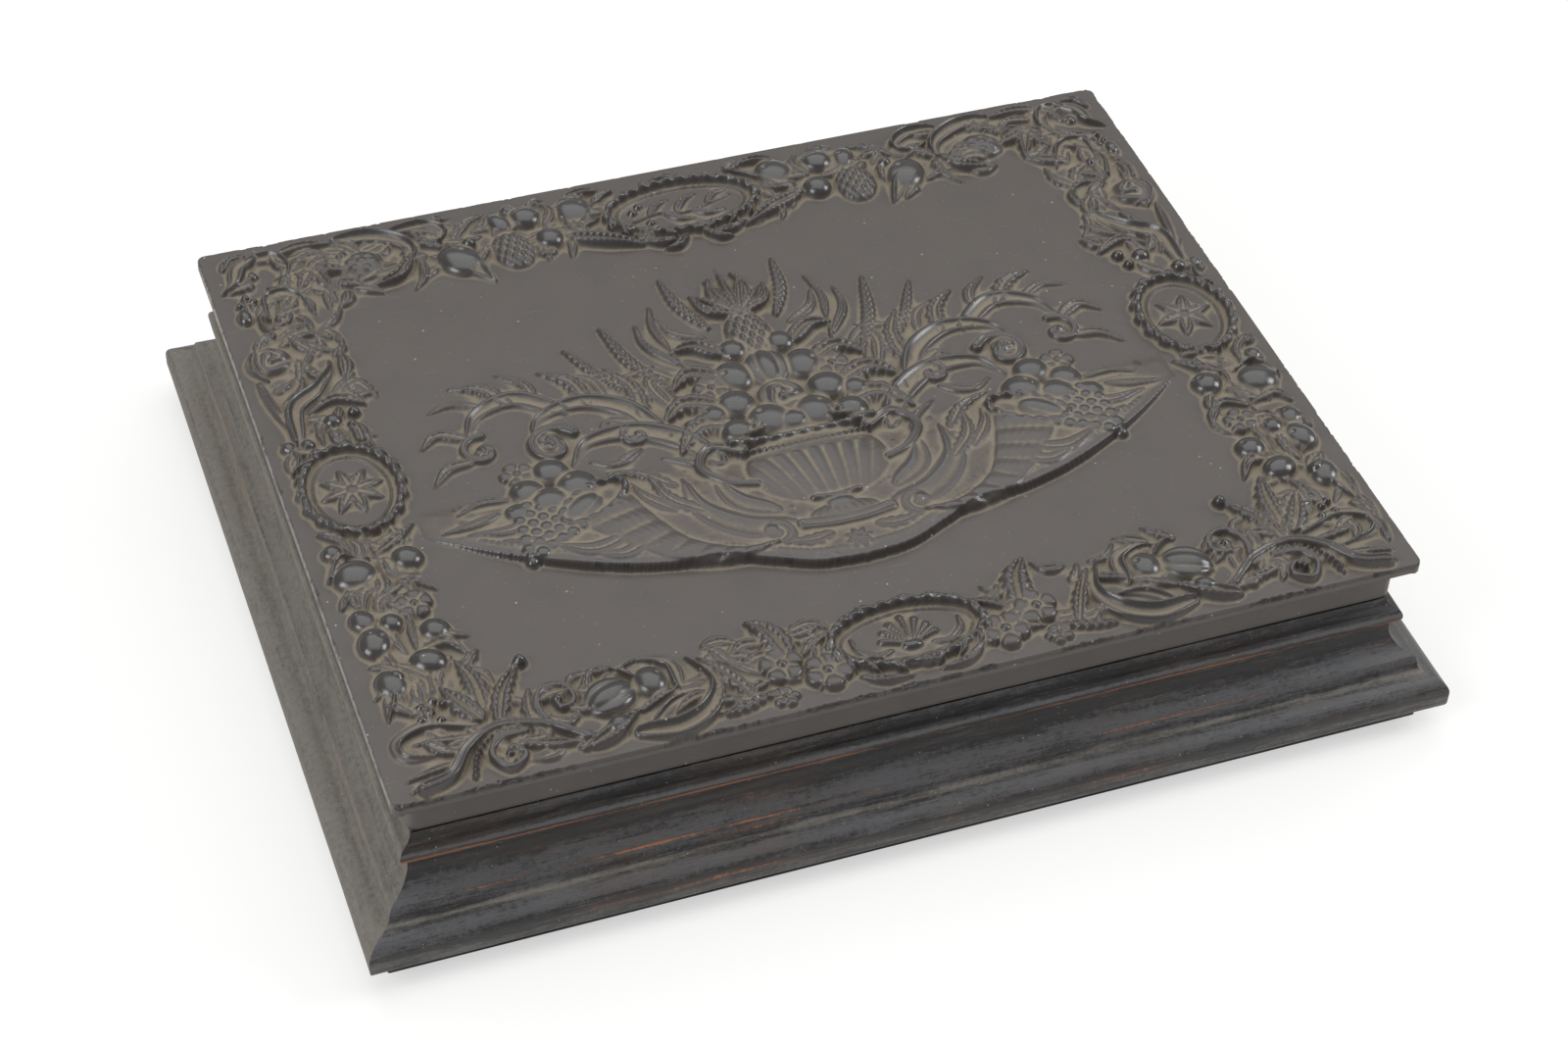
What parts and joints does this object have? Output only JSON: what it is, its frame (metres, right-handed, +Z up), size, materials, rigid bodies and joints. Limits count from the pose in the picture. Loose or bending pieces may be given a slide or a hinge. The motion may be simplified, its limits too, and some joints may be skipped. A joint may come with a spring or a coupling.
{
  "type": "union case",
  "caption": "Large hinged picture case: relief-moulded black cover on an ebonised wood lid frame, over a moulded wood base with a velvet-lined, glazed picture well.",
  "frame": {"origin": "middle of the underside, which rests on the table", "axes": "+X along the long side to the right of the front, +Y towards the hinged back, +Z up"},
  "size_m": [0.2558, 0.2048, 0.0504],
  "materials": {
    "moulded_cover": "satin moulded thermoplastic, brown-black, polished high points and dusty hollows",
    "ebonised_wood": "worn black stain with a satin polish, reddish wood at the arrises",
    "deal": "bare softwood and card",
    "velvet": "crimson cotton velvet",
    "blank_plate": "blank japanned sheet, satin",
    "brass": "lacquered sheet brass, slightly dulled",
    "glass": "clear cover glass"
  },
  "bodies": {
    "base": {"bottom_board": "ebonised_wood", "base_moulding_front": "ebonised_wood", "base_moulding_back": "ebonised_wood", "base_moulding_left": "ebonised_wood", "base_moulding_right": "ebonised_wood", "ledger_front": "deal", "ledger_back": "deal", "ledger_left": "deal", "ledger_right": "deal", "backing_board": "deal", "well_lining_front": "velvet", "well_lining_back": "velvet", "well_lining_left": "velvet", "well_lining_right": "velvet", "picture_plate": "blank_plate", "mat": "brass", "cover_glass": "glass", "preserver": "brass", "hinge_left_base_leaf": "brass", "hinge_left_pin": "brass", "hinge_left_base_screw_1": "brass", "hinge_left_base_screw_2": "brass", "hinge_left_base_screw_3": "brass", "hinge_right_base_leaf": "brass", "hinge_right_pin": "brass", "hinge_right_base_screw_1": "brass", "hinge_right_base_screw_2": "brass", "hinge_right_base_screw_3": "brass"},
    "lid": {"cover": "moulded_cover", "lid_rail_front": "ebonised_wood", "lid_rail_back": "ebonised_wood", "lid_rail_left": "ebonised_wood", "lid_rail_right": "ebonised_wood", "pad_board": "deal", "lid_pad": "velvet", "hinge_left_lid_leaf": "brass", "hinge_left_lid_screw_1": "brass", "hinge_left_lid_screw_2": "brass", "hinge_left_lid_screw_3": "brass", "hinge_right_lid_leaf": "brass", "hinge_right_lid_screw_1": "brass", "hinge_right_lid_screw_2": "brass", "hinge_right_lid_screw_3": "brass"}
  },
  "joints": [
    {"name": "lid_hinge", "type": "hinge", "parent": "base", "child": "lid", "pos_m": [0, 0.0923, 0.02675], "axis": [-1, 0, 0], "range_deg": [0, 135]}
  ]
}
